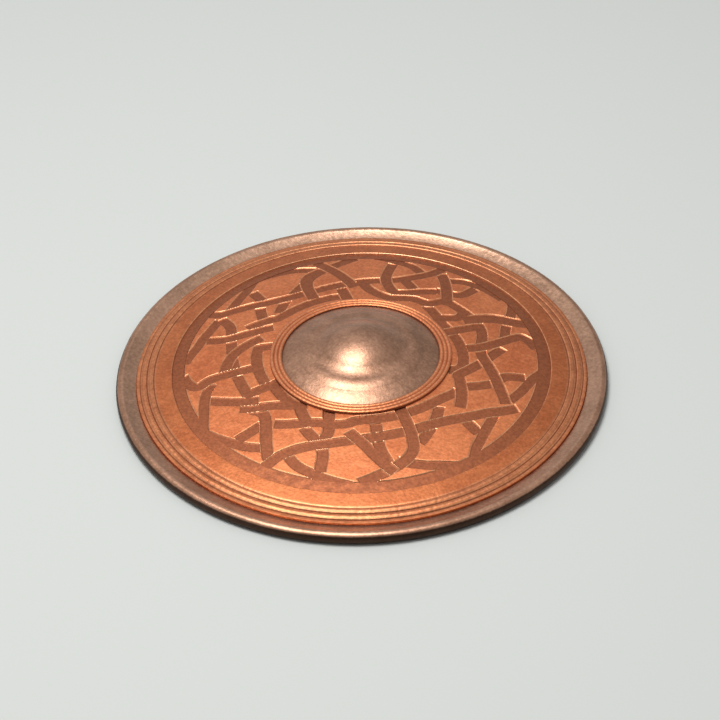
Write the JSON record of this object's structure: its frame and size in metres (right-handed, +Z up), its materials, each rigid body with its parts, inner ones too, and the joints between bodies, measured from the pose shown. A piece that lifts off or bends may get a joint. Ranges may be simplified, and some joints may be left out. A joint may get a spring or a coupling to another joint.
{
  "type": "round shield",
  "caption": "Round domed bronze shield with a riveted boss, an interlace of sunk bands, a rolled rim, a wooden hand grip and hinged strap loops behind.",
  "frame": {"origin": "on the shield's axis, in the plane that the underside of its rim rests on", "axes": "+Z up out of the face, +X along the hand grip, +Y towards the left strap loop, with the shield lying face up"},
  "size_m": [0.6, 0.6, 0.07],
  "materials": {
    "copper_bronze": "satin",
    "grey_bronze": "satin",
    "cast_bronze": "matt as cast",
    "rivet_bronze": "satin",
    "grip_wood": "oiled",
    "ash_rod": "bare"
  },
  "bodies": {
    "shield": {"face_plate": "copper_bronze", "rim_binding": "grey_bronze", "rim_core": "ash_rod", "boss_dome": "grey_bronze", "boss_collar": "copper_bronze", "boss_back_ring": "cast_bronze", "boss_rivets": "rivet_bronze", "grip_bar": "cast_bronze", "grip_scale_front": "grip_wood", "grip_scale_back": "grip_wood", "grip_pins": "rivet_bronze", "grip_rivets": "rivet_bronze", "strap_lug_left": "cast_bronze", "strap_lug_right": "cast_bronze", "strap_lug_rivets_left": "rivet_bronze", "strap_lug_rivets_right": "rivet_bronze"},
    "loop_left": {"strap_loop_left": "cast_bronze"},
    "loop_right": {"strap_loop_right": "cast_bronze"}
  },
  "joints": [
    {"name": "loop_left_swing", "type": "hinge", "parent": "shield", "child": "loop_left", "pos_m": [0, 0.1316, 0.02516], "axis": [1, 0, 0], "range_deg": [-70, 85]},
    {"name": "loop_right_swing", "type": "hinge", "parent": "shield", "child": "loop_right", "pos_m": [0, -0.1316, 0.02516], "axis": [-1, 0, 0], "range_deg": [-70, 85]}
  ]
}
